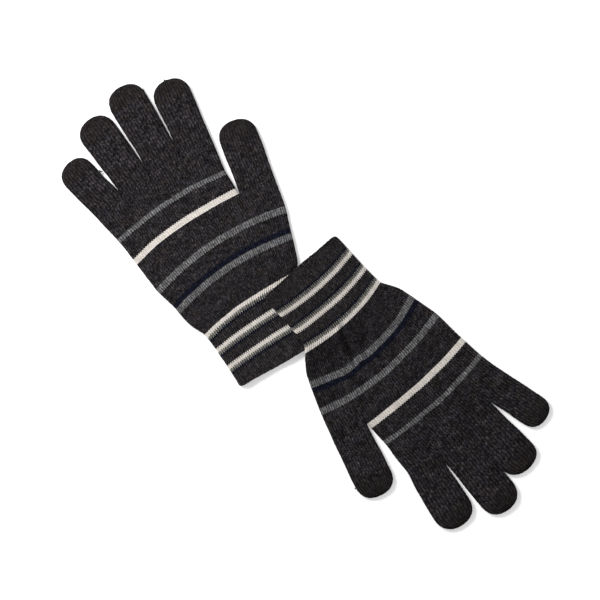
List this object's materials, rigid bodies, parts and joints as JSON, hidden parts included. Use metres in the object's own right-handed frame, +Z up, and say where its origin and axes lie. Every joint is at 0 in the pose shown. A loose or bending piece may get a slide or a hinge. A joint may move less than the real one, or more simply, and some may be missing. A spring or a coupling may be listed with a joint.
{
  "type": "pair of knitted gloves",
  "caption": "Pair of striped knitted gloves lying flat, one ribbed cuff resting on the other, with digits that fold up at their roots and tips and one glove that lifts off.",
  "frame": {"origin": "middle of the bounding box, on the plane both gloves rest on", "axes": "+Z up from the resting plane, +Y along the pair towards the left glove's fingertips, +X towards the left glove's thumb side"},
  "size_m": [0.1838, 0.4118, 0.0123],
  "materials": {
    "charcoal_knit": "matte knitted yarn",
    "charcoal_rib": "matte knitted yarn",
    "fingertip_knit": "matte knitted yarn",
    "grey_knit": "matte knitted yarn",
    "grey_rib": "matte knitted yarn",
    "cream_knit": "matte knitted yarn",
    "cream_rib": "matte knitted yarn",
    "navy_knit": "matte knitted yarn",
    "navy_rib": "matte knitted yarn"
  },
  "bodies": {
    "left_hand": {"left_cuff_hem": "charcoal_rib", "left_cuff_rib_bands": "charcoal_rib", "left_cuff_navy_stripes": "navy_rib", "left_cuff_grey_stripes": "grey_rib", "left_cuff_cream_stripes": "cream_rib", "left_wrist_panel": "charcoal_knit", "left_lower_grey_stripe": "grey_knit", "left_navy_stripe": "navy_knit", "left_palm_panel": "charcoal_knit", "left_middle_grey_stripe": "grey_knit", "left_thumb_base_panel": "charcoal_knit", "left_cream_stripe": "cream_knit", "left_knuckle_panel": "charcoal_knit", "left_upper_grey_stripe": "grey_knit", "left_finger_base_panel": "charcoal_knit"},
    "right_hand": {"right_cuff_hem": "charcoal_rib", "right_cuff_rib_bands": "charcoal_rib", "right_cuff_navy_stripes": "navy_rib", "right_cuff_grey_stripes": "grey_rib", "right_cuff_cream_stripes": "cream_rib", "right_wrist_panel": "charcoal_knit", "right_lower_grey_stripe": "grey_knit", "right_navy_stripe": "navy_knit", "right_palm_panel": "charcoal_knit", "right_middle_grey_stripe": "grey_knit", "right_thumb_base_panel": "charcoal_knit", "right_cream_stripe": "cream_knit", "right_knuckle_panel": "charcoal_knit", "right_upper_grey_stripe": "grey_knit", "right_finger_base_panel": "charcoal_knit"},
    "left_thumb_segment": {"left_thumb": "charcoal_knit"},
    "left_thumb_end": {"left_thumb_tip": "fingertip_knit"},
    "left_index_segment": {"left_index_finger": "charcoal_knit"},
    "left_index_end": {"left_index_tip": "fingertip_knit"},
    "left_middle_segment": {"left_middle_finger": "charcoal_knit"},
    "left_middle_end": {"left_middle_tip": "fingertip_knit"},
    "left_ring_segment": {"left_ring_finger": "charcoal_knit"},
    "left_ring_end": {"left_ring_tip": "fingertip_knit"},
    "left_little_segment": {"left_little_finger": "charcoal_knit"},
    "left_little_end": {"left_little_tip": "fingertip_knit"},
    "right_thumb_segment": {"right_thumb": "charcoal_knit"},
    "right_thumb_end": {"right_thumb_tip": "fingertip_knit"},
    "right_index_segment": {"right_index_finger": "charcoal_knit"},
    "right_index_end": {"right_index_tip": "fingertip_knit"},
    "right_middle_segment": {"right_middle_finger": "charcoal_knit"},
    "right_middle_end": {"right_middle_tip": "fingertip_knit"},
    "right_ring_segment": {"right_ring_finger": "charcoal_knit"},
    "right_ring_end": {"right_ring_tip": "fingertip_knit"},
    "right_little_segment": {"right_little_finger": "charcoal_knit"},
    "right_little_end": {"right_little_tip": "fingertip_knit"}
  },
  "joints": [
    {"name": "right_glove_lift", "type": "slide", "parent": "left_hand", "child": "right_hand", "axis": [0, 0, 1], "range_m": [0, 0.15]},
    {"name": "left_thumb_fold", "type": "hinge", "parent": "left_hand", "child": "left_thumb_segment", "pos_m": [0.01886, 0.08955, 0.006], "axis": [0.96, -0.2801, 0], "range_deg": [0, 60]},
    {"name": "left_thumb_tip_fold", "type": "hinge", "parent": "left_thumb_segment", "child": "left_thumb_end", "pos_m": [0.02886, 0.12383, 0.006], "axis": [0.96, -0.2801, 0], "range_deg": [0, 45]},
    {"name": "left_index_fold", "type": "hinge", "parent": "left_hand", "child": "left_index_segment", "pos_m": [0.00087, 0.13913, 0.006], "axis": [0.9785, -0.2065, 0], "range_deg": [0, 60]},
    {"name": "left_index_tip_fold", "type": "hinge", "parent": "left_index_segment", "child": "left_index_end", "pos_m": [0.00865, 0.17597, 0.006], "axis": [0.9785, -0.2065, 0], "range_deg": [0, 45]},
    {"name": "left_middle_fold", "type": "hinge", "parent": "left_hand", "child": "left_middle_segment", "pos_m": [-0.02489, 0.14053, 0.006], "axis": [0.9945, -0.1048, 0], "range_deg": [0, 60]},
    {"name": "left_middle_tip_fold", "type": "hinge", "parent": "left_middle_segment", "child": "left_middle_end", "pos_m": [-0.01952, 0.19158, 0.006], "axis": [0.9945, -0.1048, 0], "range_deg": [0, 45]},
    {"name": "left_ring_fold", "type": "hinge", "parent": "left_hand", "child": "left_ring_segment", "pos_m": [-0.05063, 0.14092, 0.006], "axis": [1, -0.009, 0], "range_deg": [0, 60]},
    {"name": "left_ring_tip_fold", "type": "hinge", "parent": "left_ring_segment", "child": "left_ring_end", "pos_m": [-0.05022, 0.18641, 0.006], "axis": [1, -0.009, 0], "range_deg": [0, 45]},
    {"name": "left_little_fold", "type": "hinge", "parent": "left_hand", "child": "left_little_segment", "pos_m": [-0.07535, 0.14004, 0.006], "axis": [0.9932, 0.1168, 0], "range_deg": [0, 60]},
    {"name": "left_little_tip_fold", "type": "hinge", "parent": "left_little_segment", "child": "left_little_end", "pos_m": [-0.07892, 0.17039, 0.006], "axis": [0.9932, 0.1168, 0], "range_deg": [0, 45]},
    {"name": "right_thumb_fold", "type": "hinge", "parent": "right_hand", "child": "right_thumb_segment", "pos_m": [-0.03533, -0.09502, 0.006], "axis": [-0.984, 0.1784, 0], "range_deg": [0, 60]},
    {"name": "right_thumb_tip_fold", "type": "hinge", "parent": "right_thumb_segment", "child": "right_thumb_end", "pos_m": [-0.0414, -0.12849, 0.006], "axis": [-0.984, 0.1784, 0], "range_deg": [0, 45]},
    {"name": "right_index_fold", "type": "hinge", "parent": "right_hand", "child": "right_index_segment", "pos_m": [-0.00626, -0.14188, 0.006], "axis": [-0.9975, 0.0711, 0], "range_deg": [0, 60]},
    {"name": "right_index_tip_fold", "type": "hinge", "parent": "right_index_segment", "child": "right_index_end", "pos_m": [-0.00901, -0.18041, 0.006], "axis": [-0.9975, 0.0711, 0], "range_deg": [0, 45]},
    {"name": "right_middle_fold", "type": "hinge", "parent": "right_hand", "child": "right_middle_segment", "pos_m": [0.02068, -0.13876, 0.006], "axis": [-0.9985, -0.054, 0], "range_deg": [0, 60]},
    {"name": "right_middle_tip_fold", "type": "hinge", "parent": "right_middle_segment", "child": "right_middle_end", "pos_m": [0.02355, -0.1918, 0.006], "axis": [-0.9985, -0.054, 0], "range_deg": [0, 45]},
    {"name": "right_ring_fold", "type": "hinge", "parent": "right_hand", "child": "right_ring_segment", "pos_m": [0.04621, -0.13434, 0.006], "axis": [-0.9911, -0.1333, 0], "range_deg": [0, 60]},
    {"name": "right_ring_tip_fold", "type": "hinge", "parent": "right_ring_segment", "child": "right_ring_end", "pos_m": [0.05193, -0.17693, 0.006], "axis": [-0.9911, -0.1333, 0], "range_deg": [0, 45]},
    {"name": "right_little_fold", "type": "hinge", "parent": "right_hand", "child": "right_little_segment", "pos_m": [0.06968, -0.12929, 0.006], "axis": [-0.9469, -0.3216, 0], "range_deg": [0, 60]},
    {"name": "right_little_tip_fold", "type": "hinge", "parent": "right_little_segment", "child": "right_little_end", "pos_m": [0.079, -0.1567, 0.006], "axis": [-0.9469, -0.3216, 0], "range_deg": [0, 45]}
  ]
}
